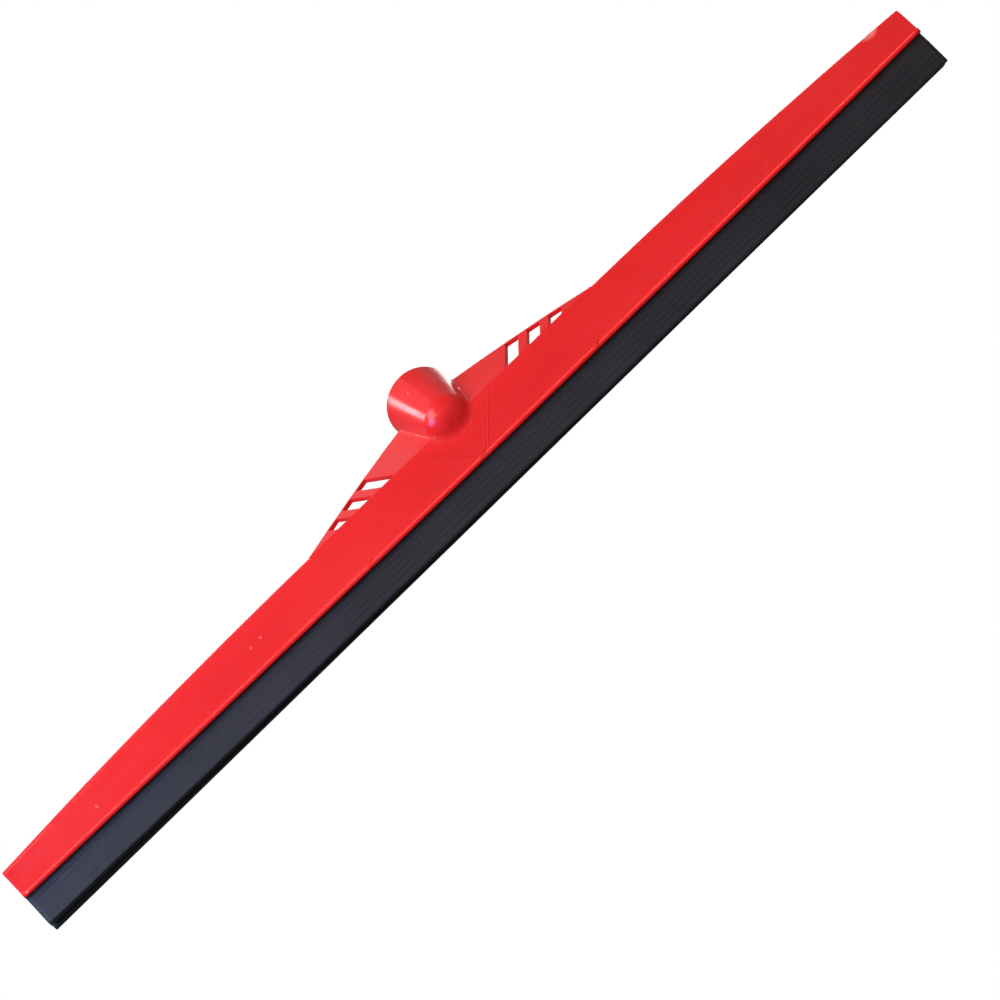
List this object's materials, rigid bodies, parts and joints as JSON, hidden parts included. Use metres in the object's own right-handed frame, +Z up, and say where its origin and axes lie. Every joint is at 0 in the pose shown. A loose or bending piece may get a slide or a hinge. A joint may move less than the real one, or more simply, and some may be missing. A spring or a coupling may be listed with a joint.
{
  "type": "floor squeegee head",
  "caption": "Long moulded squeegee head with a leaning blind handle socket between two windowed wings, and a deep double foam blade.",
  "frame": {"origin": "on the handle socket's axis, where its bore starts just inside the mouth", "axes": "+X along the bar, -Y out of the front face, +Z up, with the blades pointing down as in use"},
  "size_m": [0.6, 0.0461, 0.0781],
  "materials": {
    "red_plastic": "glossy moulded polypropylene",
    "blade_foam": "matt closed-cell foam rubber, finely lined",
    "wedge_plastic": "matt",
    "staple_steel": "bright drawn wire"
  },
  "bodies": {
    "head": {"head_moulding": "red_plastic", "front_blade_root": "blade_foam", "rear_blade_root": "blade_foam", "blade_wedge": "wedge_plastic", "staple_01": "staple_steel", "staple_02": "staple_steel", "staple_03": "staple_steel", "staple_04": "staple_steel", "staple_05": "staple_steel", "staple_06": "staple_steel", "staple_07": "staple_steel", "staple_08": "staple_steel", "staple_09": "staple_steel", "staple_10": "staple_steel", "staple_11": "staple_steel", "staple_12": "staple_steel", "staple_13": "staple_steel", "staple_14": "staple_steel"},
    "front_lip": {"front_blade_lip": "blade_foam"},
    "rear_lip": {"rear_blade_lip": "blade_foam"}
  },
  "joints": [
    {"name": "front_lip_bend", "type": "hinge", "parent": "head", "child": "front_lip", "pos_m": [0, -0.02323, -0.05073], "axis": [1, 0, 0], "range_deg": [-30, 30], "stiffness_Nm_per_rad": 0.8},
    {"name": "rear_lip_bend", "type": "hinge", "parent": "head", "child": "rear_lip", "pos_m": [0, -0.01623, -0.05073], "axis": [1, 0, 0], "range_deg": [-30, 30], "stiffness_Nm_per_rad": 0.8}
  ],
  "couplings": [
    {"joint": "rear_lip_bend", "follows": "front_lip_bend", "ratio": 1}
  ]
}
